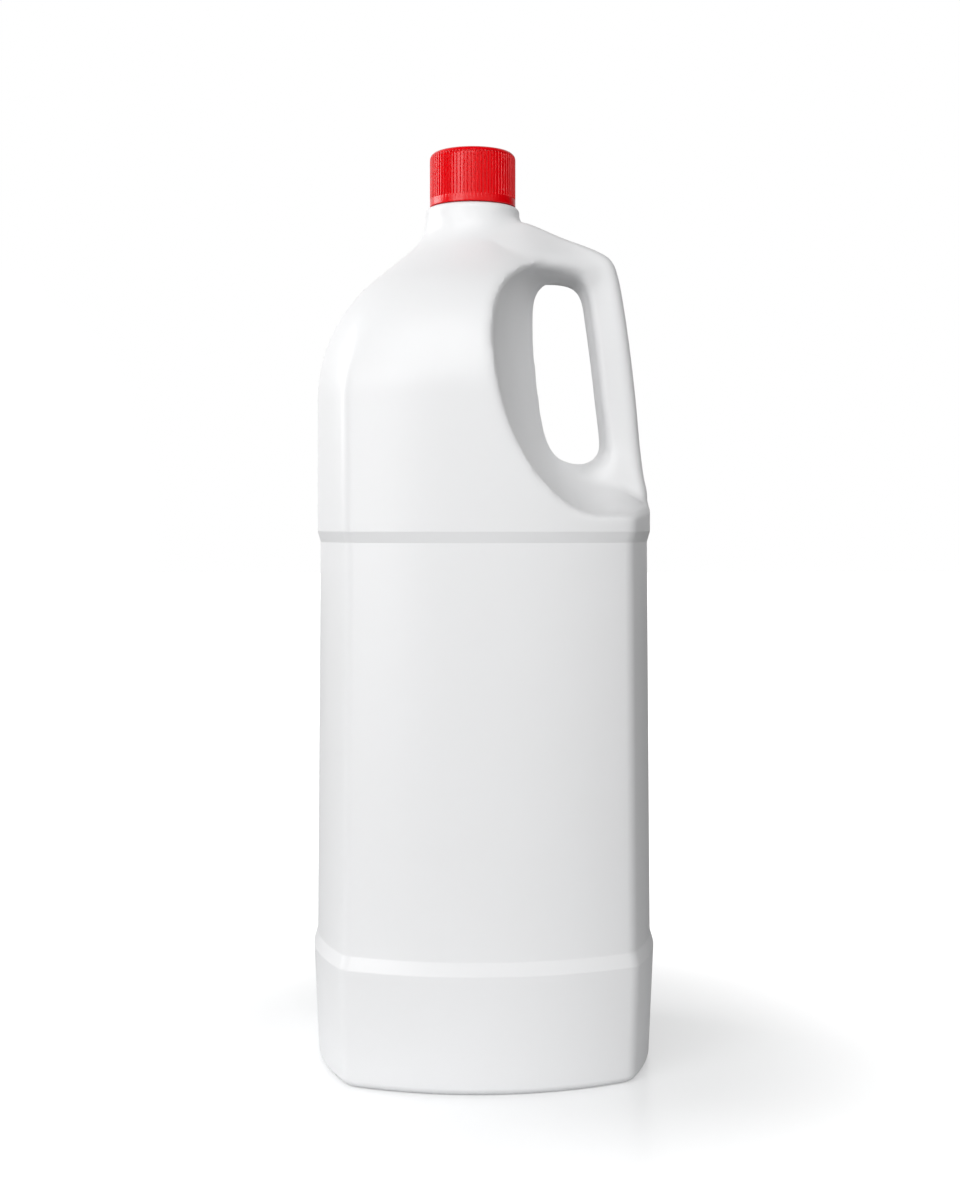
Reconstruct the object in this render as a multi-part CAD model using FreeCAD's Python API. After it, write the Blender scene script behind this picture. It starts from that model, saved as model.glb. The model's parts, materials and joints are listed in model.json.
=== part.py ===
"""Three litre detergent jug: a blow-moulded bottle with a through handle, its screw cap and liner.

Frame: millimetres, +Z up, origin on the floor under the middle of the body, +X towards the handle.
The mould parts in the XZ plane, so everything is the same in front (-Y) and behind (+Y).
"""
import FreeCAD, Part

import math
import os

Vector = FreeCAD.Vector

# ---- body: a rectangle in plan whose four sides bow outwards --------------------------------
body_half_width = 60.7         # along X, at the straight shoulder
body_half_depth = 58.4         # along Y, at the straight shoulder
side_turn = 25.3               # half the angle that each bowed side turns through, degrees
corner_radius = 8.0            # the four upright corners
wall = 0.9                     # least wall; the unseen inner skin runs in flats
ring_steps = (5, 2)            # flats along each bowed side and each corner of the inner skin
pocket_steps = 28              # flats of the inner skin round a pocket

# ---- body: heights of foot band, label panel, straight shoulder and the steps between -------
band_height = 40.4
low_step_height = 4.6
panel_height = 140.4
high_step_height = 3.8
shoulder_height = 47.5
band_proud = 1.2               # the foot band stands out past the shoulder
foot_taper = 1.8               # and draws in by this much towards the floor
panel_low_inset = 0.1          # the label panel lies inside the shoulder, more at its top
panel_high_inset = 1.1
foot_edge_radius = 3.0
base_rim = 10.0                # width of the ring that the jug stands on
base_slope = 9.0               # run of the slope inside that ring
base_push_up = 4.0             # height of the dished middle
dish_corner_radius = 12.0      # corners of the dish at the floor
foot_steps = 2                 # flats that make up a rounding
overrun = 1.0                  # how far a cutting shape runs past a face that it opens

# ---- dome and neck --------------------------------------------------------------------------
neck_x = -3.9                  # the neck stands away from the handle
dome_radius = 56.8             # convex shoulder
dome_lean = 49.7               # how far the shoulder has leant in when it turns straight, degrees
flare_radius = 15.9            # concave run into the neck
dome_steps = 3                 # rings along each of these two curves
flare_steps = 2
collar_radius = 17.2
collar_height = 3.8
collar_edge_radius = 2.0
finish_radius = 12.4           # neck wall that carries the thread
bore_radius = 10.6
lip_chamfer = 0.6
edge_steps = 3                 # flats that make up a rounding of collar and cap

# ---- handle eye and the pockets that lead to it from both sides ------------------------------
# Places in this block and the next are (inwards from the handle side's wall, up from the
# shoulder's foot). Each outline is the control points of one smooth curve, from the top right
# round the left to the right.
eye_outline = [(-19.3, 91.3), (27.7, 92.4), (40.8, 93.2), (42.6, 78.3), (40.0, 48.3),
               (36.3, 23.4), (16.7, 26.6), (7.7, 18.8), (-1.3, 8.3), (-9.3, 4.3)]
pocket_outline = [(-19.3, 98.3), (19.2, 98.3), (50.7, 102.3), (62.7, 74.3), (55.7, 31.3),
                  (33.7, 5.8), (16.7, 5.6), (6.7, 5.6), (-1.3, 5.0), (-9.3, 4.3)]
pocket_reach = 56.0            # depth at which the wall meets the pocket's outline
pocket_overrun = 1.2           # share of that depth to which the cut runs on, clear of the front
ridge_radius = 4.0             # rounding of the ridge where the two pockets meet

# ---- handle: sections along its run, from the neck over the corner and down to the body -----
# (place of the inner side, place of the outer side, half depth inside, half depth outside)
handle_sections = [
    ((58.7, 93.4), (58.7, 113.2), 31.0, 12.0),
    ((46.7, 93.2), (46.7, 112.5), 30.5, 11.5),
    ((35.5, 92.9), (32.4, 107.1), 25.0, 11.0),
    ((28.9, 91.8), (20.3, 102.4), 19.0, 11.5),
    ((25.2, 89.4), (14.4, 98.8), 15.5, 12.0),
    ((23.4, 85.0), (11.6, 92.0), 13.5, 12.5),
    ((22.3, 77.3), (9.2, 78.8), 13.0, 13.0),
    ((20.3, 62.3), (7.0, 62.8), 13.0, 13.0),
    ((18.4, 45.8), (5.1, 45.8), 13.0, 13.0),
    ((17.0, 32.6), (3.8, 30.8), 13.0, 13.0),
    ((18.4, 27.6), (2.6, 20.3), 13.5, 13.5),
    ((23.9, 23.6), (1.0, 11.8), 14.5, 14.0),
    ((33.7, 14.8), (2.9, 0.8), 16.0, 15.0),
]
handle_inner_radius = 2.4      # edges on the fingers' side, and on the outside
handle_outer_radius = 4.6
handle_steps = (2, 1)          # flats of its inner skin round an edge and along a face

# ---- cap and liner --------------------------------------------------------------------------
cap_radius = 15.75
cap_height = 20.0
cap_foot_gap = 0.3             # over the collar
cap_edge_radius = 3.4
cap_top_wall = 1.6
cap_band_height = 2.6          # plain band below the ribs
cap_band_chamfer = 0.35
rib_count = 72
rib_depth = 0.6
rib_gap_share = 0.62           # width of a groove as a share of the ribs' spacing
thread_room = 1.55             # radial room for the thread between finish and cap
liner_thickness = 1.0
liner_gap = 0.15               # over and under the liner
liner_side_gap = 0.3

# ---- sizes that follow from the others ------------------------------------------------------
panel_low_z = band_height + low_step_height
panel_high_z = panel_low_z + panel_height
shoulder_low_z = panel_high_z + high_step_height
dome_low_z = shoulder_low_z + shoulder_height
dome_inset = body_half_width + neck_x - collar_radius
lean_sine, lean_cosine = math.sin(math.radians(dome_lean)), math.cos(math.radians(dome_lean))
dome_curves = dome_radius + flare_radius
dome_slope_run = dome_inset - dome_curves * (1 - lean_cosine)
dome_high_z = dome_low_z + dome_curves * lean_sine + dome_slope_run * lean_cosine / lean_sine
collar_top_z = dome_high_z + collar_height
cap_low_z = collar_top_z + cap_foot_gap
cap_high_z = cap_low_z + cap_height
cap_bore_radius = finish_radius + thread_room
rib_high_z = cap_high_z - cap_edge_radius
cap_ceiling_z = cap_high_z - cap_top_wall
liner_high_z = cap_ceiling_z - liner_gap
lip_z = liner_high_z - liner_thickness - liner_gap
neck_axis = Vector(neck_x, 0, 0)


def mix(low, high, share):
    return low + (high - low) * share


def closed_wire(edges, flats):
    """The edges joined, or a polygon with this many flats along each of them."""
    if not flats:
        return Part.Wire(edges)
    stops = []
    for i, edge in enumerate(edges):
        stops += edge.discretize(Number=flats[i % len(flats)] + 1)[:-1]
    return Part.makePolygon(stops + [stops[0]])


def bulged_ring(z, half_x, half_y, corner, skin, centre_x=0.0):
    """A level outline of four bowed sides and four corners, all arcs tangent to each other.

    Each arc turns through the same angle at every level, so a wall from one outline to the next
    can be unrolled flat. The radii of the front's and the side's bow follow from the sizes.
    The inner skin is drawn in by skin and runs in flats.
    """
    half_x, half_y, corner = half_x - skin, half_y - skin, corner - skin
    sine, cosine = math.sin(math.radians(side_turn)), math.cos(math.radians(side_turn))
    lost = corner * (cosine - sine)
    total = (half_x + half_y - 2 * lost) / (1 + sine - cosine)
    difference = (half_x - half_y) / (sine + cosine - 1)
    front_bow, side_bow = (total + difference) / 2, (total - difference) / 2
    corner_x = (front_bow - corner) * sine
    corner_y = -(side_bow - corner) * sine
    diagonal = corner * math.sqrt(0.5)
    front_end = Vector(corner_x + corner * sine, corner_y - corner * cosine, 0)
    corner_mid = Vector(corner_x + diagonal, corner_y - diagonal, 0)
    side_end = Vector(corner_x + corner * cosine, corner_y - corner * sine, 0)
    front_mid = Vector(0, -half_y, 0)
    side_mid = Vector(half_x, 0, 0)

    def at(point, flip_x=1, flip_y=1):
        return Vector(centre_x + flip_x * point.x, flip_y * point.y, z)

    arcs = [(at(front_end, -1), at(front_mid), at(front_end)),
            (at(front_end), at(corner_mid), at(side_end)),
            (at(side_end), at(side_mid), at(side_end, 1, -1)),
            (at(side_end, 1, -1), at(corner_mid, 1, -1), at(front_end, 1, -1)),
            (at(front_end, 1, -1), at(front_mid, 1, -1), at(front_end, -1, -1)),
            (at(front_end, -1, -1), at(corner_mid, -1, -1), at(side_end, -1, -1)),
            (at(side_end, -1, -1), at(side_mid, -1), at(side_end, -1)),
            (at(side_end, -1), at(corner_mid, -1), at(front_end, -1))]
    return closed_wire([Part.Arc(*arc).toShape() for arc in arcs], skin and ring_steps)


def body_ring(z, proud, skin):
    """The body's outline, standing out by proud."""
    return bulged_ring(z, body_half_width + proud, body_half_depth + proud, corner_radius, skin)


def dish_ring(z, inset, skin):
    """Outline of the dished middle of the base, which the inner skin passes at a wall's distance."""
    inset += base_rim - band_proud + foot_taper
    return bulged_ring(z, body_half_width - inset, body_half_depth - inset, dish_corner_radius,
                       -skin)


def lower_body(skin):
    """Rounded foot, foot band, label panel and the steps between them, up to the shoulder."""
    levels = []
    for i in range(foot_steps + 1):
        angle = math.radians(90.0 * i / foot_steps)
        proud = band_proud - foot_taper - foot_edge_radius * (1 - math.sin(angle))
        levels.append((skin + foot_edge_radius * (1 - math.cos(angle)), proud))
    levels += [(band_height, band_proud), (panel_low_z, -panel_low_inset),
               (panel_high_z, -panel_high_inset), (shoulder_low_z, 0.0)]
    body = Part.makeLoft([body_ring(z, proud, skin) for z, proud in levels], True, True)
    return body.cut(Part.makeLoft([dish_ring(-overrun, 0.0, skin), dish_ring(skin, 0.0, skin),
                                   dish_ring(base_push_up + skin, base_slope, skin)], True, True))


def dome_levels():
    """Height and inset of the shoulder's outline: convex arc, straight slope, concave flare."""
    levels = []
    for i in range(dome_steps + 1):
        angle = math.radians(dome_lean * i / dome_steps)
        levels.append((dome_low_z + dome_radius * math.sin(angle),
                       dome_radius * (1 - math.cos(angle))))
    for i in range(flare_steps + 1):
        angle = math.radians(dome_lean * (1 - i / flare_steps))
        levels.append((dome_high_z - flare_radius * math.sin(angle),
                       dome_inset - flare_radius * (1 - math.cos(angle))))
    return levels


def dome_ring(z, inset, skin):
    """The shoulder's outline turns from the bowed rectangle into the round neck."""
    share = inset / dome_inset
    half_x = mix(body_half_width, collar_radius, share)
    half_y = mix(body_half_depth, collar_radius, share)
    roundness = mix(corner_radius / body_half_width, 1.0, share ** 0.8)
    return bulged_ring(z, half_x, half_y, roundness * half_x, skin, neck_x * share)


def shoulder(skin):
    """Straight shoulder and dome."""
    rings = [dome_ring(z, inset, skin) for z, inset in [(shoulder_low_z, 0.0)] + dome_levels()]
    return Part.makeLoft(rings, True, True)


def placed(place):
    """The point in the parting plane that is so far in from the wall and up from the shoulder."""
    inwards, up = place
    return Vector(body_half_width - inwards, 0, shoulder_low_z + up)


def grown(points, skin):
    """Control points moved out of the eye by skin, into the body's wall."""
    points = [(point.x, point.z) for point in map(placed, points)]
    moved = []
    for i, (x, z) in enumerate(points):
        before, after = points[max(i - 1, 0)], points[min(i + 1, len(points) - 1)]
        run = Vector(after[0] - before[0], 0, after[1] - before[1]).normalize()
        moved.append((x + run.z * skin, z - run.x * skin))
    return moved


def outline_wire(points, y, flats):
    """The smooth curve of the control points, closed on the handle's side, or flats along it."""
    curve = Part.BSplineCurve()
    curve.buildFromPoles([Vector(x, y, z) for x, z in points], False, 3)
    start, end = curve.FirstParameter, curve.LastParameter
    if flats:
        stops = [curve.value(mix(start, end, i / flats)) for i in range(flats + 1)]
        return Part.makePolygon(stops + [stops[0]])
    return Part.Wire([curve.toShape(), Part.makeLine(curve.value(end), curve.value(start))])


def pocket(skin):
    """One tapering cut from the front face to the parting plane, open to the handle's side."""
    flats = skin and pocket_steps
    eye = grown(eye_outline, skin)
    mouth = grown(pocket_outline, skin)
    front = [(mix(ex, mx, pocket_overrun), mix(ez, mz, pocket_overrun)) for (ex, ez), (mx, mz) in zip(eye, mouth)]
    return Part.makeLoft([outline_wire(eye, 0.0, flats),
                          outline_wire(front, -pocket_reach * pocket_overrun, flats)], True, True)


def pocketed_shoulder(skin):
    """The shoulder with a pocket cut from the front and its mirror image from behind."""
    front_cut = pocket(skin)
    back_cut = front_cut.mirror(Vector(0, 0, 0), Vector(0, 1, 0))
    return shoulder(skin).cut([front_cut, back_cut]).removeSplitter()


def rounded_ridge(solid):
    """The ridge where the two pockets meet is rounded."""
    ridge = [edge for edge in solid.Edges
             if edge.BoundBox.YLength < 0.01 and edge.Length > dome_radius]
    return solid.makeFillet(ridge_radius, ridge)


def rounded_polygon(corners, radii, flats):
    """A flat closed wire through the corners, each one rounded to its radius."""
    runs = []
    for i, (corner, radius) in enumerate(zip(corners, radii)):
        back = (corners[i - 1] - corner).normalize()
        ahead = (corners[(i + 1) % len(corners)] - corner).normalize()
        half = back.getAngle(ahead) / 2
        bisector = (back + ahead).normalize()
        start = corner + back * (radius / math.tan(half))
        end = corner + ahead * (radius / math.tan(half))
        runs.append((start, corner + bisector * (radius / math.sin(half) - radius), end))
    edges = []
    for i, (start, middle, end) in enumerate(runs):
        edges.append(Part.Arc(start, middle, end).toShape())
        edges.append(Part.makeLine(end, runs[(i + 1) % len(runs)][0]))
    return closed_wire(edges, flats)


def handle(skin):
    """The hollow grip: from the neck along the arm, round the corner and down into the body."""
    wires = []
    for inner, outer, inner_depth, outer_depth in handle_sections:
        inner, outer = placed(inner), placed(outer)
        across = (outer - inner).normalize()
        inner, outer = inner + across * skin, outer - across * skin
        deep, shallow = Vector(0, inner_depth - skin, 0), Vector(0, outer_depth - skin, 0)
        corners = [inner - deep, outer - shallow, outer + shallow, inner + deep]
        inner_radius, outer_radius = handle_inner_radius - skin, handle_outer_radius - skin
        radii = [inner_radius, outer_radius, outer_radius, inner_radius]
        wires.append(rounded_polygon(corners, radii, skin and handle_steps))
    return Part.makeLoft(wires, True, True)


def turned(points):
    """A solid of revolution about the neck's axis, from points (radius, z)."""
    outline = [Vector(neck_x + r, 0, z) for r, z in points + points[:1]]
    return Part.Face(Part.makePolygon(outline)).revolve(neck_axis, Vector(0, 0, 1), 360)


def top_edge(wall_r, top_z, radius):
    """Points of a turned profile's rounded top edge, from the wall inwards."""
    angles = [math.radians(90.0 * i / edge_steps) for i in range(edge_steps + 1)]
    return [(wall_r - radius * (1 - math.cos(a)), top_z - radius * (1 - math.sin(a)))
            for a in angles]


def neck_outside():
    """Collar under the cap, and the plain wall of the neck finish above it."""
    return turned([(0.0, dome_high_z), (collar_radius, dome_high_z)]
                  + top_edge(collar_radius, collar_top_z, collar_edge_radius)
                  + [(finish_radius, collar_top_z), (finish_radius, lip_z - lip_chamfer),
                     (finish_radius - lip_chamfer, lip_z), (0.0, lip_z)])


def neck_inside():
    """Bore of the neck, opening into the shoulder."""
    flare_r = collar_radius - wall
    return turned([(0.0, dome_high_z), (flare_r, dome_high_z),
                   (bore_radius, collar_top_z - wall), (bore_radius, lip_z + overrun),
                   (0.0, lip_z + overrun)])


def make_bottle():
    """One blown shell: the outer skin less the inner skin, which is open at the mouth."""
    outside = lower_body(0.0).fuse([rounded_ridge(pocketed_shoulder(0.0)), handle(0.0),
                                    neck_outside()])
    inside = lower_body(wall).fuse([pocketed_shoulder(wall), handle(wall),
                                    neck_inside()])
    return outside.cut(inside)


def make_cap():
    """Skirt, ribbed grip, plain band at the foot and the thread inside."""
    blank = turned([(0.0, cap_low_z), (cap_radius - cap_band_chamfer, cap_low_z),
                    (cap_radius, cap_low_z + cap_band_chamfer)]
                   + top_edge(cap_radius, cap_high_z, cap_edge_radius) + [(0.0, cap_high_z)])
    hollow = turned([(0.0, cap_low_z - overrun), (cap_bore_radius, cap_low_z - overrun),
                     (cap_bore_radius, cap_ceiling_z), (0.0, cap_ceiling_z)])
    low_z = cap_low_z + cap_band_height
    valley_r = cap_radius - rib_depth
    open_r = cap_radius + rib_depth
    half_width = rib_gap_share * math.pi * cap_radius / rib_count * (open_r - valley_r) / rib_depth
    notch = Part.makePolygon([Vector(neck_x + valley_r, 0, low_z),
                              Vector(neck_x + open_r, -half_width, low_z),
                              Vector(neck_x + open_r, half_width, low_z),
                              Vector(neck_x + valley_r, 0, low_z)])
    groove = Part.Face(notch).extrude(Vector(0, 0, rib_high_z - low_z))
    grooves = []
    for i in range(rib_count):
        copy = groove.copy()
        copy.rotate(neck_axis, Vector(0, 0, 1), 360.0 * i / rib_count)
        grooves.append(copy)
    return blank.cut(grooves).cut(hollow)


def make_liner():
    """The soft disc that the cap presses on the lip."""
    low_z = liner_high_z - liner_thickness
    return Part.makeCylinder(cap_bore_radius - liner_side_gap, liner_thickness,
                             Vector(neck_x, 0, low_z))


def write(node, shape):
    os.makedirs("parts", exist_ok=True)
    shape.exportStep(f"parts/{node}.step")
    print(f"{node}: {shape.Volume / 1000:.1f} cm3, {len(shape.Solids)} solid(s)")


write("bottle", make_bottle())
write("cap", make_cap())
write("liner", make_liner())
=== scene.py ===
# %% [markdown]
# # A detergent jug
# The jug is one blown shell of white polyethylene with a grip that one can reach through, closed by
# a red screw cap with a soft liner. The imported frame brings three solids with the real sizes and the
# joints. Here each of them gets a dressed piece with the finer form that a mould gives it: rounded
# rims, a screw thread, ribs that fade out, and a plastic skin that is never quite even.

# %% Load the frame
import json
import math

import bmesh
import bpy
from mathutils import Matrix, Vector
from mathutils.kdtree import KDTree

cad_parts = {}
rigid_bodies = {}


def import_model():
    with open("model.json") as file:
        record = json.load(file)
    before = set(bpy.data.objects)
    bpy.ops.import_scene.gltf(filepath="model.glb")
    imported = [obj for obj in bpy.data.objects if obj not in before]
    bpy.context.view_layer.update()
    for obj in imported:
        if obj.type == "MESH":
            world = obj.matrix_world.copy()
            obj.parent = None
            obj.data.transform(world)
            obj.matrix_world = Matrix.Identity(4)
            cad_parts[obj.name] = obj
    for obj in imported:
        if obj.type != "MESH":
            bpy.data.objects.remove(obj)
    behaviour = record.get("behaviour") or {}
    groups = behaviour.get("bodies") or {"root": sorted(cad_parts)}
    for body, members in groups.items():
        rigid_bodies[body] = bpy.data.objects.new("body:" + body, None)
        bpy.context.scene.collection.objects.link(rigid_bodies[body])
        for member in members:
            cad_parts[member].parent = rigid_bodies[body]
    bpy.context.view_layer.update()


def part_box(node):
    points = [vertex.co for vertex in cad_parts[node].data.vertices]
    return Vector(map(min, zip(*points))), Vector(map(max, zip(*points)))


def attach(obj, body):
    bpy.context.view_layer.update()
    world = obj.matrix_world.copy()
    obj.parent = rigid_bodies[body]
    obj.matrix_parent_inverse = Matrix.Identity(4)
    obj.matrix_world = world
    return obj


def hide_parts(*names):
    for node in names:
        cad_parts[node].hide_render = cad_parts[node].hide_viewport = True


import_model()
MM = 0.001
bottle_low, bottle_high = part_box("bottle")
cap_low, cap_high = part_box("cap")
liner_low, liner_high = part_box("liner")
neck_x = (cap_low.x + cap_high.x) / 2
print("neck at", round(neck_x / MM, 1), "mm")

# %% [markdown]
# ## Camera
# A tall thing looks upright only if the camera stands level, because a camera that is tipped down
# makes upright edges run together. So the camera looks straight ahead from a little over the jug's
# middle, and its lens is shifted down to bring the foot into the picture. It stands a few degrees to
# the left, which is why the left corner of the body is nearer.

# %% Camera
eye_height = 0.192
eye_distance = 0.6325
eye_turn = math.radians(-2.8)
aside = 0.00119
camera_data = bpy.data.cameras.new("camera")
camera_data.sensor_width = 36.0
camera_data.lens = 51.51
camera_data.shift_y = -0.0638
camera = bpy.data.objects.new("camera", camera_data)
bpy.context.scene.collection.objects.link(camera)
bpy.context.scene.camera = camera
towards = Vector((-math.sin(eye_turn), math.cos(eye_turn), 0.0))
across = Vector((math.cos(eye_turn), math.sin(eye_turn), 0.0))
camera.location = Vector((0, 0, eye_height)) - towards * eye_distance - across * aside
camera.rotation_euler = towards.to_track_quat("-Z", "Y").to_euler()
bpy.context.scene.view_settings.view_transform = "Standard"
print("camera at", [round(v, 3) for v in camera.location])

# %% [markdown]
# ## Helpers for shapes built ring by ring
# Most of a bottle can be drawn as outlines at rising heights. A ring of vertices is made once with
# create_circle and moved onto the first outline. Then its edges are extruded again and again, and
# each new ring is moved onto the next outline. Two more helpers are needed: one rounds the corners
# of a drawn line, and one turns a bmesh into an object.


# %% Ring by ring
def stack_rings(rings, open_top=False):
    """A closed skin through a list of rings, each a list of as many points."""
    skin = bmesh.new()
    ring = bmesh.ops.create_circle(skin, segments=len(rings[0]), radius=1.0)["verts"]
    edges = list(skin.edges)
    for number, points in enumerate(rings):
        if number:
            made = bmesh.ops.extrude_edge_only(skin, edges=edges)["geom"]
            fresh = {item for item in made if isinstance(item, bmesh.types.BMVert)}
            ring = [next(other for other in (edge.other_vert(vert) for edge in vert.link_edges)
                         if other in fresh) for vert in ring]
            edges = [item for item in made if isinstance(item, bmesh.types.BMEdge)
                     and item.verts[0] in fresh and item.verts[1] in fresh]
        for vert, point in zip(ring, points):
            vert.co = point
    top = set(edges) if open_top else set()
    bmesh.ops.holes_fill(skin, edges=[edge for edge in skin.edges if edge not in top], sides=0)
    bmesh.ops.recalc_face_normals(skin, faces=skin.faces)
    if skin.calc_volume(signed=True) < 0:
        bmesh.ops.reverse_faces(skin, faces=skin.faces)
    return skin


def rounded(points, radii, steps=6, closed=False):
    """The drawn line with an arc at each corner; radii has one number per point."""
    line = []
    last = len(points) - 1
    for number, (point, radius) in enumerate(zip(points, radii)):
        corner = Vector(point)
        if radius == 0 or (not closed and number in (0, last)):
            line.append(corner)
            continue
        back = (Vector(points[number - 1]) - corner).normalized()
        ahead = (Vector(points[(number + 1) % len(points)]) - corner).normalized()
        half = back.angle(ahead) / 2
        centre = corner + (back + ahead).normalized() * (radius / math.sin(half))
        start = corner + back * (radius / math.tan(half)) - centre
        end = corner + ahead * (radius / math.tan(half)) - centre
        for step in range(steps + 1):
            share = step / steps
            line.append(centre + (start * (1 - share) + end * share).normalized() * radius)
    return line


def mix(low, high, share):
    return low + (high - low) * share


def make_object(name, skin, smooth_angle=40.0):
    """A bmesh as an object at the origin, smooth except across sharp edges."""
    for face in skin.faces:
        face.smooth = True
    for edge in skin.edges:
        if len(edge.link_faces) == 2 and edge.calc_face_angle(0.0) > math.radians(smooth_angle):
            edge.smooth = False
    mesh = bpy.data.meshes.new(name)
    skin.to_mesh(mesh)
    skin.free()
    made = bpy.data.objects.new(name, mesh)
    bpy.context.scene.collection.objects.link(made)
    return made


def applied(source):
    """The mesh of an object with its modifiers applied, as a bmesh; the object goes."""
    graph = bpy.context.evaluated_depsgraph_get()
    mesh = bpy.data.meshes.new_from_object(source.evaluated_get(graph))
    skin = bmesh.new()
    skin.from_mesh(mesh)
    bpy.data.objects.remove(source)
    bpy.data.meshes.remove(mesh)
    return skin


# %% [markdown]
# ## Outline of the body
# Seen from above the body is a square whose four sides bow outwards. Each side and each corner is
# an arc, and each arc turns through the same angle at every height. That has a pleasant effect: the
# point of the outline that faces a given direction is easy to work out, and the rings line up.

# %% Outline of the body
band_proud = 1.2 * MM
half_width = bottle_high.x - band_proud
half_depth = bottle_high.y - band_proud
corner_radius = 8.0 * MM
side_turn = math.radians(25.3)
facings = []
for quarter in range(4):
    for first, last, count in ((0.0, side_turn, 34), (side_turn, math.pi / 2 - side_turn, 14),
                               (math.pi / 2 - side_turn, math.pi / 2, 34)):
        facings += [quarter * math.pi / 2 + mix(first, last, i / count) for i in range(count)]


def body_outline(z, half_x, half_y, corner, centre_x=0.0):
    """Points of the bowed square, one for each direction that the wall can face."""
    sine, cosine = math.sin(side_turn), math.cos(side_turn)
    lost = corner * (cosine - sine)
    total = (half_x + half_y - 2 * lost) / (1 + sine - cosine)
    difference = (half_x - half_y) / (sine + cosine - 1)
    front_bow, side_bow = (total + difference) / 2, (total - difference) / 2
    points = []
    for facing in facings:
        along, out = math.sin(facing), math.cos(facing)
        x, y = abs(along), abs(out)
        if x <= sine + 1e-9:
            place = (x * front_bow, half_y - front_bow * (1 - y))
        elif y <= sine + 1e-9:
            place = (half_x - side_bow * (1 - x), y * side_bow)
        else:
            place = ((front_bow - corner) * sine + corner * x,
                     (side_bow - corner) * sine + corner * y)
        points.append(Vector((centre_x + math.copysign(place[0], along),
                              -math.copysign(place[1], out), z)))
    return points


print("outline:", len(facings), "points")

# %% [markdown]
# ## Lower body
# The side of the jug is drawn once as a line: the dish under the foot, the rounded foot, the foot
# band, the label panel that lies a little deeper, and the start of the straight shoulder. On the
# blown jug none of these steps is quite sharp, so each corner of the line gets its own small radius.

# %% Lower body
base_inset = 10.8 * MM
shoulder_low_z = 189.2 * MM
join_z = shoulder_low_z + 1.6 * MM
side_line = rounded(
    [(-19.8 * MM, 4.0 * MM), (-base_inset, 0.0), (-0.6 * MM, 0.0), (band_proud, 40.4 * MM),
     (-0.1 * MM, 45.0 * MM), (-1.1 * MM, 185.4 * MM), (0.0, shoulder_low_z), (0.0, join_z)],
    [0, 3.0 * MM, 3.0 * MM, 1.5 * MM, 1.8 * MM, 1.0 * MM, 1.4 * MM, 0], steps=8)
tallest_step = 12.0 * MM
parts_of_step = 8
foot_rings = []
for number, (out, z) in enumerate(side_line):
    if number and z - side_line[number - 1].y > tallest_step:
        below = side_line[number - 1]
        for step in range(1, parts_of_step):
            part = below.lerp(side_line[number], step / parts_of_step)
            foot_rings.append(body_outline(part.y, half_width + part.x, half_depth + part.x,
                                           corner_radius))
    foot_rings.append(body_outline(z, half_width + out, half_depth + out, corner_radius))
lower_body = stack_rings(foot_rings, open_top=True)
print("lower body:", len(foot_rings), "rings")

# %% [markdown]
# ## Shoulder and dome
# The shoulder starts as the same bowed square. Over it the dome follows as an arc, a straight slope
# and a hollow flare, while the outline turns round and moves away from the grip to meet the neck.
# The shoulder is a shape of its own at first, because the grip's cuts only touch this part.

# %% Shoulder and dome
dome_low_z = 236.7 * MM
dome_radius = 56.8 * MM
dome_lean = math.radians(49.7)
flare_radius = 15.9 * MM
collar_radius = 17.2 * MM
dome_inset = half_width + neck_x - collar_radius
slope_run = dome_inset - (dome_radius + flare_radius) * (1 - math.cos(dome_lean))
dome_high_z = (dome_low_z + (dome_radius + flare_radius) * math.sin(dome_lean)
               + slope_run / math.tan(dome_lean))
collar_top_z = dome_high_z + 3.8 * MM
overlap = 8.0 * MM
shoulder_rings = [body_outline(mix(shoulder_low_z - overlap, dome_low_z, i / 24), half_width,
                               half_depth, corner_radius) for i in range(25)]


def dome_ring(z, inset):
    share = inset / dome_inset
    half_x = mix(half_width, collar_radius, share)
    half_y = mix(half_depth, collar_radius, share)
    roundness = mix(corner_radius / half_width, 1.0, share ** 0.8)
    return body_outline(z, half_x, half_y, roundness * half_x, neck_x * share)


dome_line = []
for i in range(1, 37):
    angle = dome_lean * i / 36
    dome_line.append((dome_low_z + dome_radius * math.sin(angle),
                      dome_radius * (1 - math.cos(angle))))
slope_low = dome_line[-1]
slope_high = (dome_high_z - flare_radius * math.sin(dome_lean),
              dome_inset - flare_radius * (1 - math.cos(dome_lean)))
for i in range(1, 12):
    dome_line.append((mix(slope_low[0], slope_high[0], i / 12),
                      mix(slope_low[1], slope_high[1], i / 12)))
for i in range(17):
    angle = dome_lean * (1 - i / 16)
    dome_line.append((dome_high_z - flare_radius * math.sin(angle),
                      dome_inset - flare_radius * (1 - math.cos(angle))))
shoulder_rings += [dome_ring(z, inset) for z, inset in dome_line]
shoulder_rings.append(dome_ring(collar_top_z, dome_inset))
shoulder = make_object("shoulder", stack_rings(shoulder_rings))
print("shoulder:", len(shoulder_rings), "rings; collar's top at", round(collar_top_z / MM, 2))

# %% [markdown]
# ## Finger pockets
# Two tapering pockets, one from the front and one from behind, meet at the eye of the grip. Their
# walls are drawn by two smooth outlines, a small one in the middle and a large one at the front.
# A NURBS curve with a few control points gives each outline. The way from the large one to the
# small one follows a sine, so a wall is steep behind the pocket's rim and flatter further in, as
# where fingers curl. One cutter, waisted in the middle, goes right through, and a Boolean takes it
# away.

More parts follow.
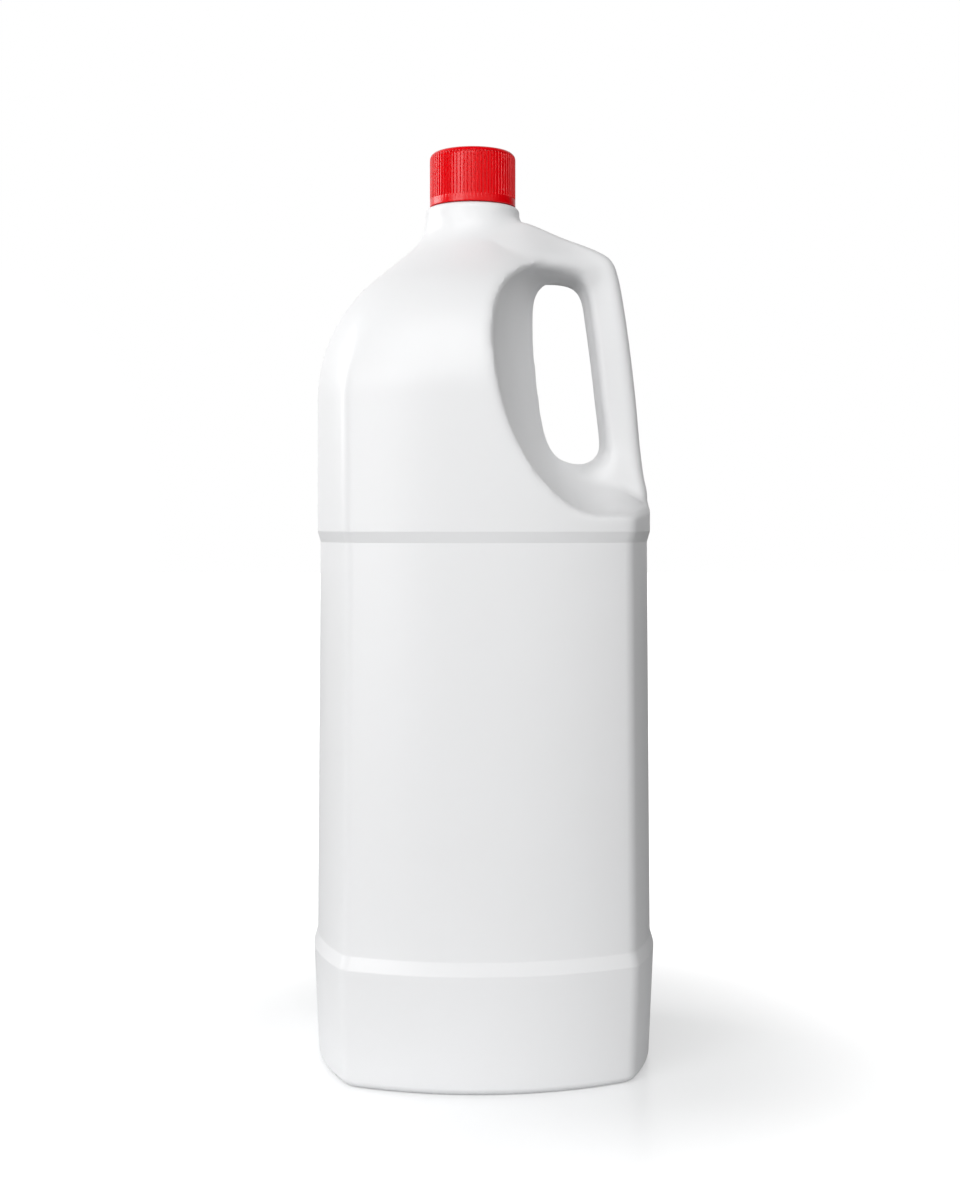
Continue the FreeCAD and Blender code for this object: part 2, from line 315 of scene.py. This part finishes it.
# %% Finger pockets
eye_line = [(-19.3, 91.3), (27.7, 92.4), (40.8, 93.2), (42.6, 78.3), (40.0, 48.3), (36.3, 23.4),
            (16.7, 26.6), (7.7, 18.8), (-1.3, 8.3), (-9.3, 4.3)]
pocket_line = [(-19.3, 98.3), (19.2, 98.3), (50.7, 102.3), (62.7, 74.3), (55.7, 31.3),
               (33.7, 5.8), (16.7, 5.6), (6.7, 5.6), (-1.3, 5.0), (-9.3, 4.3)]
pocket_depth = 54.0 * MM
cutter_step = 3.0 * MM


def from_wall(place):
    """The x and z of a place given inwards from the grip's side and up from the shoulder's foot."""
    return half_width - place[0] * MM, shoulder_low_z + place[1] * MM


def smooth_outline(places):
    curve = bpy.data.curves.new("outline", "CURVE")
    curve.resolution_u = 24
    spline = curve.splines.new("NURBS")
    spline.points.add(len(places) - 1)
    for point, place in zip(spline.points, places):
        point.co = (*from_wall(place), 0.0, 1.0)
    spline.order_u = 4
    spline.use_endpoint_u = True
    holder = bpy.data.objects.new("outline", curve)
    bpy.context.scene.collection.objects.link(holder)
    mesh = bpy.data.meshes.new_from_object(holder)
    line = [(vert.co.x, vert.co.y) for vert in mesh.vertices]
    bpy.data.objects.remove(holder)
    return line


eye = smooth_outline(eye_line)
pocket = smooth_outline(pocket_line)
cutter_rings = []
for step in range(-22, 23):
    y = step * cutter_step
    share = math.sin(min(abs(y) / pocket_depth, 1.0) * math.pi / 2)
    cutter_rings.append([Vector((mix(ex, px, share), y, mix(ez, pz, share)))
                         for (ex, ez), (px, pz) in zip(eye, pocket)])
cutter = make_object("pocket cutter", stack_rings(cutter_rings))
print("pocket outline:", len(eye), "points")

# %% [markdown]
# ## Grip
# The grip is a hollow tube that leaves the dome as a wedge, turns at a tight corner and runs down
# into the body. It is drawn by sections: each has an inner and an outer side, a half depth at both
# and the rounding of its inner edges. Between the drawn sections the numbers are carried on
# smoothly, so the tube has no kinks.

# %% Grip
grip_sections = [
    (58.7, 93.4, 58.7, 113.2, 31.0, 12.0, 3.0),
    (46.7, 93.2, 46.7, 112.2, 30.5, 11.5, 3.0),
    (35.5, 92.9, 32.4, 106.6, 25.0, 11.0, 3.0),
    (28.9, 91.8, 20.3, 102.2, 18.5, 11.5, 3.2),
    (25.2, 89.4, 14.4, 98.6, 14.5, 12.0, 3.4),
    (23.3, 85.0, 11.6, 91.9, 12.0, 12.5, 3.4),
    (22.1, 77.3, 9.2, 78.8, 11.0, 13.0, 3.4),
    (20.1, 62.3, 7.0, 62.8, 11.0, 13.0, 3.4),
    (18.2, 45.8, 5.1, 45.8, 11.0, 13.0, 3.4),
    (16.9, 32.6, 3.8, 30.8, 11.5, 13.0, 4.5),
    (18.5, 27.6, 2.6, 20.3, 13.0, 13.5, 7.0),
    (23.9, 23.6, 1.3, 11.8, 15.0, 14.0, 10.0),
    (33.7, 14.8, 2.9, 0.8, 17.0, 15.0, 12.0),
]
outer_edge_radius = 4.6 * MM


def carried_on(rows, index, share):
    """Numbers between two rows, on a smooth curve through the rows before and after them."""
    before, start, end, after = (rows[min(max(index + k, 0), len(rows) - 1)] for k in (-1, 0, 1, 2))
    return [0.5 * (2 * b + (c - a) * share + (2 * a - 5 * b + 4 * c - d) * share ** 2
                   + (3 * b - a - 3 * c + d) * share ** 3)
            for a, b, c, d in zip(before, start, end, after)]


def grip_ring(row):
    """The outline of one section, a flat tube across the line from its inner to its outer side."""
    (inner_x, inner_z), (outer_x, outer_z) = from_wall(row[0:2]), from_wall(row[2:4])
    inner, outer = Vector((inner_x, 0.0, inner_z)), Vector((outer_x, 0.0, outer_z))
    span = (outer - inner).length
    deep, shallow, inner_edge_radius = row[4] * MM, row[5] * MM, row[6] * MM
    flat = rounded([(0.0, -deep), (span, -shallow), (span, shallow), (0.0, deep)],
                   [inner_edge_radius, outer_edge_radius, outer_edge_radius, inner_edge_radius],
                   steps=8, closed=True)
    direction = (outer - inner).normalized()
    return [inner + direction * point.x + Vector((0.0, point.y, 0.0)) for point in flat]


grip_rings = [grip_ring(carried_on(grip_sections, index, step / 8))
              for index in range(len(grip_sections) - 1) for step in range(8)]
grip_rings.append(grip_ring(grip_sections[-1]))
grip = make_object("grip", stack_rings(grip_rings))
print("grip:", len(grip_rings), "rings")

# %% [markdown]
# ## One skin
# Two Booleans take the pockets out of the shoulder and join the grip to it. Their edges are as
# sharp as knives, and a blown bottle has no such edge anywhere. Bevelling them fails, because they
# run through thousands of small faces. So a voxel remesh first turns the shape into even little
# squares, which are easy to smooth. A copy of the sharp shape is kept to measure against.

# %% One skin
square_side = 1.15 * MM
for name, kind, tool in (("pockets", "DIFFERENCE", cutter), ("grip", "UNION", grip)):
    modifier = shoulder.modifiers.new(name, "BOOLEAN")
    modifier.operation = kind
    modifier.object = tool
    modifier.solver = "EXACT"
    modifier.use_self = kind == "UNION"
sharp = applied(shoulder)
print("sharp shoulder:", round(sharp.calc_volume() * 1e6), "cm3")
sharp_shape = make_object("sharp shoulder", sharp.copy())
soft_shape = make_object("soft shoulder", sharp.copy())
remesh = soft_shape.modifiers.new("even squares", "REMESH")
remesh.mode = "VOXEL"
remesh.voxel_size = square_side
skin = applied(soft_shape)
bpy.data.objects.remove(cutter)
bpy.data.objects.remove(grip)
print("shoulder skin:", len(skin.faces), "faces")

# %% [markdown]
# ## Soft edges
# Points along every sharp edge of the copy go into a KD tree, a list that answers quickly which
# point is nearest. Each vertex of the even skin asks it how far the nearest edge is, and gets a
# softness from that: 1 on the edge, 0 a few millimetres away. The Smooth modifier follows that
# softness. Shrinkwrap follows the opposite and puts the plain walls back on the drawn surface.
#
# How wide an edge is softened depends on the place. The plastic flows round widely in the pocket's
# floor, and it keeps a crisp crease where the grip's outer side meets the body.

# %% Soft edges
plain_reach = 6.5 * MM
floor_reach = 12.0 * MM
root_reach = 1.6 * MM
sharp_angle = 0.3
sharp_points = []
for edge in sharp.edges:
    middle = (edge.verts[0].co + edge.verts[1].co) / 2
    if join_z + 1 * MM < middle.z < collar_top_z - 3 * MM and edge.calc_face_angle(0.0) > sharp_angle:
        sharp_points += [edge.verts[0].co.copy(), middle]
sharp.free()
edge_tree = KDTree(len(sharp_points))
for number, point in enumerate(sharp_points):
    edge_tree.insert(point, number)
edge_tree.balance()


def edge_reach(place):
    """How far from an edge the skin is softened: far in the pocket's floor, little at the root."""
    root = max(0.0, min(1.0, (place.x - 46 * MM) / (5 * MM)))
    low = max(0.0, min(1.0, (222 * MM - place.z) / (20 * MM)))
    return mix(mix(plain_reach, floor_reach, low), root_reach, root * min(1.0, 3 * low))


def softness(place):
    distance = edge_tree.find(place)[2]
    share = max(0.0, min(1.0, 1.35 * (1.0 - distance / edge_reach(place))))
    floor_fade = max(0.0, min(1.0, (place.z - join_z) / (5 * MM)))
    return share * share * (3 - 2 * share) * floor_fade


soft_shape = make_object("soft shoulder", skin)
edges_group = soft_shape.vertex_groups.new(name="soft edges")
walls_group = soft_shape.vertex_groups.new(name="plain walls")
for vert in soft_shape.data.vertices:
    weight = softness(vert.co)
    edges_group.add([vert.index], weight, "REPLACE")
    walls_group.add([vert.index], 1.0 - weight, "REPLACE")
even = soft_shape.modifiers.new("even out", "SMOOTH")
even.factor, even.iterations = 0.5, 2
round_off = soft_shape.modifiers.new("round the edges", "SMOOTH")
round_off.factor, round_off.iterations = 0.5, 34
round_off.vertex_group = edges_group.name
put_back = soft_shape.modifiers.new("plain walls", "SHRINKWRAP")
put_back.target = sharp_shape
put_back.wrap_method = "NEAREST_SURFACEPOINT"
put_back.vertex_group = walls_group.name
skin = applied(soft_shape)
bpy.data.objects.remove(sharp_shape)
print("softened round", len(sharp_points), "points of sharp edges")

# %% [markdown]
# ## Open ends
# The soft shoulder is cut level inside the collar, and again just above its foot. The two rims of
# open edges that this leaves are joined to the neck and to the lower body further on.

# %% Open ends
cut_z = dome_high_z + 1.0 * MM
for height, direction in ((cut_z, 1), (join_z + 0.5 * MM, -1)):
    bmesh.ops.bisect_plane(skin, geom=skin.verts[:] + skin.edges[:] + skin.faces[:], dist=1e-7,
                           plane_co=(0, 0, height), plane_no=(0, 0, direction), clear_outer=True)
print("open edges:", sum(edge.is_boundary for edge in skin.edges))

# %% [markdown]
# ## Neck finish and thread
# The collar, the plain wall and the lip are turned about the neck's axis, so their half section is
# drawn and spun. The thread is the same operation with a rise: the profile of one ridge is spun
# while each step lifts it a little. Its ends sink into the wall, as a moulded thread runs out.

# %% Neck finish
finish_radius = 12.4 * MM
bore_radius = 10.6 * MM
lip_z = bottle_high.z
pitch = 4.2 * MM
thread_height = 1.2 * MM
thread_low_z = cap_low.z + 4.5 * MM
thread_turns = 1.5


def turned(line, steps=160, closed=True):
    """A half section (radius, z) spun once about the neck's axis."""
    spun = bmesh.new()
    verts = [spun.verts.new((neck_x + radius, 0.0, z)) for radius, z in line]
    edges = [spun.edges.new((verts[i], verts[i + 1])) for i in range(len(verts) - 1)]
    if closed:
        edges.append(spun.edges.new((verts[-1], verts[0])))
    bmesh.ops.spin(spun, geom=verts + edges, cent=(neck_x, 0, 0), axis=(0, 0, 1),
                   angle=math.tau, steps=steps, use_merge=True)
    bmesh.ops.remove_doubles(spun, verts=spun.verts, dist=0.001 * MM)
    bmesh.ops.recalc_face_normals(spun, faces=spun.faces)
    return spun


def add_thread(spun, foot_radius, rise, low_z, steps=150, fade=14):
    """One helical ridge; rise is outwards, or inwards where it is negative."""
    base, crest = foot_radius - 0.3 * MM * math.copysign(1, rise), foot_radius + rise
    verts = [spun.verts.new((neck_x + radius, 0.0, low_z + dz)) for radius, dz in
             ((base, -1.15 * MM), (crest, -0.4 * MM), (crest + 0.05 * rise, 0.0),
              (crest, 0.4 * MM), (base, 1.15 * MM))]
    edges = [spun.edges.new((verts[i - 1], verts[i])) for i in range(len(verts))]
    before = set(spun.verts)
    bmesh.ops.spin(spun, geom=verts + edges, cent=(neck_x, 0, 0), axis=(0, 0, 1),
                   angle=math.tau * thread_turns, steps=steps,
                   dvec=(0, 0, pitch * thread_turns / steps))
    ridge = verts + [vert for vert in spun.verts if vert not in before]
    for vert in ridge:
        along = (vert.co.z - low_z) / (pitch * thread_turns) * steps
        ease = min(1.0, max(0.0, min(along, steps - along) / fade))
        arm = Vector((vert.co.x - neck_x, vert.co.y, 0.0))
        sunk = mix(base, arm.length, math.sin(ease * math.pi / 2))
        vert.co += arm.normalized() * (sunk - arm.length)
    members = set(ridge)
    ends = [edge for edge in spun.edges if edge.is_boundary and edge.verts[0] in members]
    bmesh.ops.holes_fill(spun, edges=ends, sides=0)
    bmesh.ops.recalc_face_normals(spun, faces=spun.faces)


section = rounded(
    [(collar_radius, cut_z + 0.5 * MM), (collar_radius, collar_top_z),
     (finish_radius, collar_top_z), (finish_radius, lip_z), (bore_radius, lip_z),
     (bore_radius, collar_top_z - 0.9 * MM)],
    [0, 2.0 * MM, 0.8 * MM, 0.7 * MM, 0.4 * MM, 0], steps=6)
neck = turned([(point.x, point.y) for point in section], closed=False)
add_thread(neck, finish_radius, thread_height, thread_low_z)
print("neck:", len(neck.faces), "faces")

# %% [markdown]
# ## One bottle
# The blown bottle is a single wall, so the parts become a single mesh. Neighbouring rims of open
# edges are found by their place and joined with bridge_loops. The inner skin is the outer one again
# with fewer faces, moved inwards by the wall and turned inside out.

# %% One bottle
wall = 0.9 * MM


def add_part(part):
    carrier = bpy.data.meshes.new("part of the bottle")
    part.to_mesh(carrier)
    part.free()
    skin.from_mesh(carrier)
    bpy.data.meshes.remove(carrier)


def join_rims(chosen):
    rims = [edge for edge in skin.edges if edge.is_boundary and chosen(edge.verts[0].co)]
    bmesh.ops.bridge_loops(skin, edges=rims)
    print("joined", len(rims), "open edges")


def is_outer(place):
    return math.hypot(place.x - neck_x, place.y) > collar_radius - wall / 2


add_part(lower_body)
join_rims(lambda place: place.z < join_z + 2 * MM)
inner_shape = make_object("inner skin", skin.copy())
fewer = inner_shape.modifiers.new("fewer faces", "DECIMATE")
fewer.ratio = 0.2
inwards = inner_shape.modifiers.new("inwards", "DISPLACE")
inwards.mid_level, inwards.strength = 0.0, -wall
inner = applied(inner_shape)
bmesh.ops.reverse_faces(inner, faces=inner.faces)
print("inner skin:", len(inner.faces), "faces")
add_part(inner)
add_part(neck)
join_rims(lambda place: place.z > join_z + 2 * MM and is_outer(place))
join_rims(lambda place: place.z > join_z + 2 * MM and not is_outer(place))
bottle_piece = make_object("bottle_shell", skin, 50.0)
print("bottle:", sum(len(face.vertices) - 2 for face in bottle_piece.data.polygons), "triangles")

# %% [markdown]
# ## Screw cap
# The cap is turned too, but its ribs are not, so it is built ring by ring with twelve points to a
# rib. The grooves between the ribs end square over the plain band at the foot, and run a little way
# up the rounded top edge. The rings go on round the foot and up the bore to the ceiling.

# %% Screw cap
cap_radius = (cap_high.x - cap_low.x) / 2
cap_bore = finish_radius + 1.55 * MM
ceiling_z = cap_high.z - 1.6 * MM
rib_count = 72
rib_points = 12
rib_depth = 0.55 * MM
rib_share = 0.36
rib_low_z = cap_low.z + 2.8 * MM
rib_high_z = cap_high.z - 2.7 * MM
cap_line = rounded(
    [(0.4 * MM, cap_high.z), (cap_radius, cap_high.z), (cap_radius, cap_low.z),
     (cap_bore + 0.5 * MM, cap_low.z), (cap_bore, cap_low.z + 0.5 * MM), (cap_bore, ceiling_z),
     (0.4 * MM, ceiling_z)],
    [0, 2.6 * MM, 0.35 * MM, 0.1 * MM, 0.1 * MM, 0.6 * MM, 0], steps=10)
wall_start = next(i for i, point in enumerate(cap_line) if abs(point.x - cap_radius) < 1e-7)
rib_levels = [Vector((cap_radius, z)) for z in
              (rib_high_z, mix(rib_high_z, rib_low_z, 0.33), mix(rib_high_z, rib_low_z, 0.66),
               rib_low_z + 0.3 * MM, rib_low_z + 0.12 * MM, rib_low_z)]
cap_line[wall_start + 1:wall_start + 1] = rib_levels
rib_overrun = 3
cap_rings = []
for number, (radius, z) in enumerate(cap_line):
    ribbed = wall_start - rib_overrun < number < wall_start + len(rib_levels)
    deep = rib_depth if ribbed else 0.0
    ring = []
    for i in range(rib_count * rib_points):
        turn = math.tau * i / (rib_count * rib_points)
        from_rib = abs((i / rib_points + 0.5) % 1.0 - 0.5) * 2
        groove = max(0.0, min(1.0, (from_rib - rib_share + 0.1) / 0.2))
        reach = radius - deep * groove * groove * (3 - 2 * groove)
        ring.append(Vector((neck_x + reach * math.cos(turn), reach * math.sin(turn), z)))
    cap_rings.append(ring)
cap_skin = stack_rings(cap_rings)
add_thread(cap_skin, cap_bore, -thread_height, thread_low_z - pitch / 2)
cap = make_object("screw_cap", cap_skin, 50.0)
print("cap:", len(cap.data.polygons), "faces")

# %% [markdown]
# ## Liner
# The liner is a disc of foamed plastic that seals the lip. It is spun from its half section like
# the neck, and the small hole that the spin leaves in the middle is filled.

# %% Liner
liner_radius = (liner_high.x - liner_low.x) / 2
liner_line = rounded(
    [(0.3 * MM, liner_low.z), (liner_radius, liner_low.z), (liner_radius, liner_high.z),
     (0.3 * MM, liner_high.z)], [0, 0.25 * MM, 0.25 * MM, 0], steps=4)
liner_skin = turned([(point.x, point.y) for point in liner_line], steps=120)
bmesh.ops.holes_fill(liner_skin, edges=liner_skin.edges, sides=0)
liner = make_object("liner_disc", liner_skin, 50.0)

# %% [markdown]
# ## Plastic
# All three plastics came out of a mould, so they share one effect: a colour that drifts a little
# with the wall's thickness, a gloss that drifts with it, and a skin with a slight wave and a fine
# grain. That effect is a node group, and each material gives it its own numbers.


# %% Moulded skin
def socket(group, name, kind, way, value=None):
    made = group.interface.new_socket(name=name, in_out=way, socket_type=kind)
    if value is not None:
        made.default_value = value


def moulded_skin():
    group = bpy.data.node_groups.new("moulded skin", "ShaderNodeTree")
    socket(group, "Colour", "NodeSocketColor", "INPUT", (0.8, 0.8, 0.8, 1))
    socket(group, "Thin colour", "NodeSocketColor", "INPUT", (0.8, 0.8, 0.8, 1))
    socket(group, "Roughness", "NodeSocketFloat", "INPUT", 0.3)
    socket(group, "Roughness drift", "NodeSocketFloat", "INPUT", 0.05)
    socket(group, "Grain", "NodeSocketFloat", "INPUT", 1.0)
    socket(group, "Wave", "NodeSocketFloat", "INPUT", 1.0)
    socket(group, "Colour", "NodeSocketColor", "OUTPUT")
    socket(group, "Roughness", "NodeSocketFloat", "OUTPUT")
    socket(group, "Height", "NodeSocketFloat", "OUTPUT")
    nodes, links = group.nodes, group.links
    given = nodes.new("NodeGroupInput")
    result = nodes.new("NodeGroupOutput")
    place = nodes.new("ShaderNodeTexCoord")

    def noise(scale, detail):
        made = nodes.new("ShaderNodeTexNoise")
        made.inputs["Scale"].default_value = scale
        made.inputs["Detail"].default_value = detail
        links.new(place.outputs["Object"], made.inputs["Vector"])
        return made.outputs["Fac"]

    def maths(kind, first, second, third=0.0):
        made = nodes.new("ShaderNodeMath")
        made.operation = kind
        for slot, value in zip(made.inputs, (first, second, third)):
            if isinstance(value, (int, float)):
                slot.default_value = value
            else:
                links.new(value, slot)
        return made.outputs[0]

    drift = noise(26.0, 2.0)
    blend = nodes.new("ShaderNodeMix")
    blend.data_type = "RGBA"
    links.new(drift, blend.inputs["Factor"])
    links.new(given.outputs["Colour"], blend.inputs["A"])
    links.new(given.outputs["Thin colour"], blend.inputs["B"])
    links.new(blend.outputs["Result"], result.inputs["Colour"])
    patchy = maths("SUBTRACT", noise(70.0, 3.0), 0.5)
    rough = maths("MULTIPLY_ADD", patchy, given.outputs["Roughness drift"],
                  given.outputs["Roughness"])
    links.new(rough, result.inputs["Roughness"])
    grain = maths("MULTIPLY", noise(1600.0, 2.0), given.outputs["Grain"])
    wave = maths("MULTIPLY", noise(90.0, 1.0), given.outputs["Wave"])
    links.new(maths("ADD", grain, wave), result.inputs["Height"])
    return group


skin_group = moulded_skin()


def plastic(name, colour, thin, roughness, drift, grain, wave, bump):
    """A moulded plastic; bump is how high its grain and wave stand."""
    material = bpy.data.materials.new(name)
    material.use_nodes = True
    nodes, links = material.node_tree.nodes, material.node_tree.links
    shader = nodes["Principled BSDF"]
    effect = nodes.new("ShaderNodeGroup")
    effect.node_tree = skin_group
    effect.inputs["Colour"].default_value = (*colour, 1)
    effect.inputs["Thin colour"].default_value = (*thin, 1)
    effect.inputs["Roughness"].default_value = roughness
    effect.inputs["Roughness drift"].default_value = drift
    effect.inputs["Grain"].default_value = grain
    effect.inputs["Wave"].default_value = wave
    relief = nodes.new("ShaderNodeBump")
    relief.inputs["Distance"].default_value = bump
    relief.inputs["Strength"].default_value = 1.0
    links.new(effect.outputs["Colour"], shader.inputs["Base Color"])
    links.new(effect.outputs["Roughness"], shader.inputs["Roughness"])
    links.new(effect.outputs["Height"], relief.inputs["Height"])
    links.new(relief.outputs["Normal"], shader.inputs["Normal"])
    return material


white_polyethylene = plastic("white polyethylene", (0.885, 0.89, 0.90), (0.87, 0.872, 0.876),
                             0.34, 0.08, 0.10, 0.5, 0.00006)
red_polypropylene = plastic("red polypropylene", (0.84, 0.0, 0.004), (0.78, 0.0, 0.004),
                            0.24, 0.06, 0.08, 0.3, 0.00004)
liner_foam = plastic("liner foam", (0.84, 0.84, 0.82), (0.80, 0.80, 0.78),
                     0.6, 0.1, 1.0, 0.2, 0.00006)

# %% Give each piece its body, its place in the frame and its plastic
for piece, body_name, node, slot, material in (
        (bottle_piece, "bottle", "bottle", "bottle_plastic", white_polyethylene),
        (cap, "cap", "cap", "cap_plastic", red_polypropylene),
        (liner, "liner", "liner", "liner_foam", liner_foam)):
    piece.data.materials.append(material)
    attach(piece, body_name)
    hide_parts(node)

# %% [markdown]
# ## Floor and light
# The jug stands on a large white floor. Near the jug the floor is lit by the lamps, so the shadow
# shows; a short way out it is lit from itself, so it runs into the white surround without an edge.
#
# The surround gives light from behind and a little from the front. What the camera sees of it is
# plain white. Four square soft boxes do the modelling: the key stands to the left of the camera and
# above it, the side light is low and further left, the edge light is behind the jug's left side,
# and the fill is on the right. The fill is hidden from reflections, so that it opens the finger
# pocket without putting a second highlight on the cap.

# %% Floor
near_jug = 0.07
far_from_jug = 0.22
floor_skin = bmesh.new()
bmesh.ops.create_grid(floor_skin, x_segments=1, y_segments=1, size=6.0)
floor = make_object("floor", floor_skin)
paper = bpy.data.materials.new("white floor")
paper.use_nodes = True
nodes, links = paper.node_tree.nodes, paper.node_tree.links
shader = nodes["Principled BSDF"]
shader.inputs["Roughness"].default_value = 0.28
place = nodes.new("ShaderNodeTexCoord")
away = nodes.new("ShaderNodeVectorMath")
away.operation = "LENGTH"
spread = nodes.new("ShaderNodeMapRange")
spread.interpolation_type = "SMOOTHSTEP"
spread.inputs["From Min"].default_value = near_jug
spread.inputs["From Max"].default_value = far_from_jug
spread.inputs["To Min"].default_value = 0.36
spread.inputs["To Max"].default_value = 1.0
links.new(place.outputs["Object"], away.inputs[0])
links.new(away.outputs["Value"], spread.inputs["Value"])
paint = nodes.new("ShaderNodeMix")
paint.data_type = "RGBA"
paint.inputs["A"].default_value = (0.86, 0.87, 0.88, 1)
paint.inputs["B"].default_value = (0.25, 0.25, 0.25, 1)
links.new(spread.outputs["Result"], paint.inputs["Factor"])
links.new(paint.outputs["Result"], shader.inputs["Base Color"])
rays = nodes.new("ShaderNodeLightPath")
glow_seen = nodes.new("ShaderNodeMath")
glow_seen.operation = "MULTIPLY"
links.new(spread.outputs["Result"], glow_seen.inputs[0])
links.new(rays.outputs["Is Camera Ray"], glow_seen.inputs[1])
glow = nodes.new("ShaderNodeEmission")
glow.inputs["Color"].default_value = (1, 1, 1, 1)
links.new(glow_seen.outputs[0], glow.inputs["Strength"])
both = nodes.new("ShaderNodeAddShader")
links.new(shader.outputs[0], both.inputs[0])
links.new(glow.outputs[0], both.inputs[1])
links.new(both.outputs[0], nodes["Material Output"].inputs["Surface"])
floor.data.materials.append(paper)

# %% Surround
world = bpy.data.worlds.new("surround")
bpy.context.scene.world = world
world.use_nodes = True
nodes, links = world.node_tree.nodes, world.node_tree.links
background = nodes["Background"]
background.inputs["Color"].default_value = (1, 1, 1, 1)
rays = nodes.new("ShaderNodeLightPath")
direction = nodes.new("ShaderNodeTexCoord")


def lit_from(axis, strength):
    """The light of the part of the surround that lies towards an axis."""
    facing = nodes.new("ShaderNodeVectorMath")
    facing.operation = "DOT_PRODUCT"
    facing.inputs[1].default_value = axis
    links.new(direction.outputs["Generated"], facing.inputs[0])
    only = nodes.new("ShaderNodeClamp")
    links.new(facing.outputs["Value"], only.inputs["Value"])
    fade = nodes.new("ShaderNodeMath")
    fade.operation = "POWER"
    fade.inputs[1].default_value = 2.0
    links.new(only.outputs[0], fade.inputs[0])
    light = nodes.new("ShaderNodeMath")
    light.operation = "MULTIPLY"
    light.inputs[1].default_value = strength
    links.new(fade.outputs[0], light.inputs[0])
    return light.outputs[0]


def joined(operation, first, second):
    made = nodes.new("ShaderNodeMath")
    made.operation = operation
    links.new(first, made.inputs[0])
    links.new(second, made.inputs[1])
    return made.outputs[0]


from_behind = lit_from((-0.3, 0.954, 0.0), 1.03)
from_front = lit_from((0.0, -1.0, 0.0), 0.14)
all_round = joined("ADD", from_behind, from_front)
links.new(joined("MAXIMUM", all_round, rays.outputs["Is Camera Ray"]),
          background.inputs["Strength"])

# %% Lamps
lamp_distance = 1.6
lamp_target = Vector((0, 0, 0.18))


def soft_lamp(name, azimuth, elevation, size, power):
    """A square soft box, turned from the camera's side and raised, aimed at the jug's middle."""
    data = bpy.data.lights.new(name, "AREA")
    data.size = size
    data.energy = power
    lamp = bpy.data.objects.new(name, data)
    bpy.context.scene.collection.objects.link(lamp)
    turn, rise = math.radians(azimuth), math.radians(elevation)
    towards = Vector((math.sin(turn) * math.cos(rise), -math.cos(turn) * math.cos(rise),
                      math.sin(rise)))
    lamp.location = lamp_target + towards * lamp_distance
    lamp.rotation_euler = (-towards).to_track_quat("-Z", "Y").to_euler()
    return lamp


soft_lamp("key", -20.0, 38.0, 1.3, 11.9)
soft_lamp("side", -45.0, 8.0, 0.9, 7.6)
fill = soft_lamp("fill", 30.0, 22.0, 1.6, 11.8)
fill.visible_glossy = False
soft_lamp("edge", -110.0, 20.0, 0.9, 12.0)
